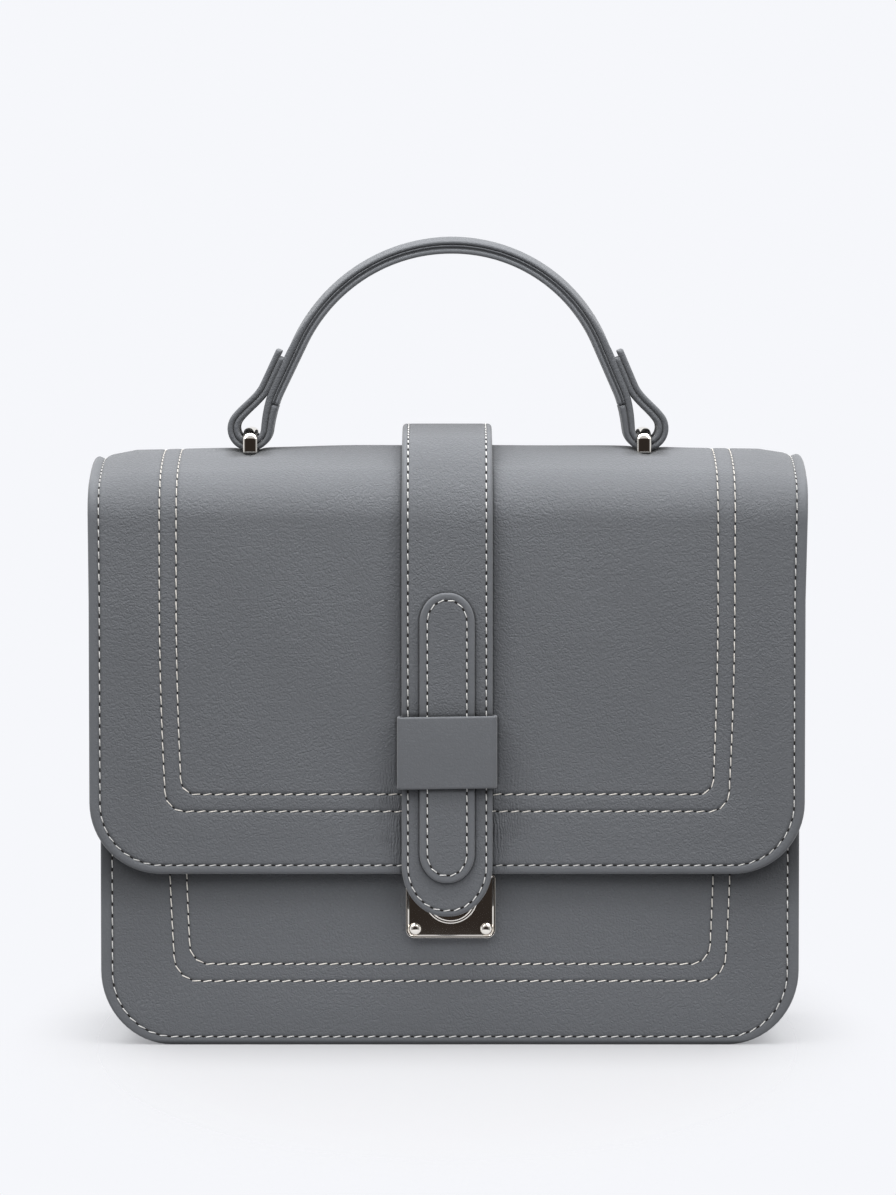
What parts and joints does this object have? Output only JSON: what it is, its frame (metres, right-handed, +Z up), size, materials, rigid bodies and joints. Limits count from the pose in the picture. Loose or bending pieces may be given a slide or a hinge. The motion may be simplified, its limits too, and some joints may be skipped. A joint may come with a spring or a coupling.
{
  "type": "leather satchel",
  "caption": "Structured leather satchel with an arched top handle on metal bridges, a long front flap, and a closure strap with keeper and metal lock plate.",
  "frame": {"origin": "middle of the bounding box at the floor the bag stands on", "axes": "+Z up from the base to the handle, the flap's front faces -Y, +X to the right seen from the front"},
  "size_m": [0.24, 0.1028, 0.2722],
  "materials": {
    "leather": "grained grey leather, satin",
    "lock_metal": "polished pale gold plating",
    "handle_metal": "polished pale gold plating",
    "thread": "pale waxed sewing thread"
  },
  "bodies": {
    "root": {"front_panel": "leather", "back_panel": "leather", "gusset": "leather", "flap": "leather", "strap": "leather", "strap_tab": "leather", "keeper": "leather", "lock_plate": "lock_metal", "lock_screw_left": "lock_metal", "lock_screw_right": "lock_metal", "clasp_stud": "lock_metal", "handle_top": "leather", "handle_lining": "leather", "handle_wrap_left": "leather", "handle_wrap_right": "leather", "handle_staple_left": "handle_metal", "handle_staple_right": "handle_metal"}
  },
  "joints": []
}
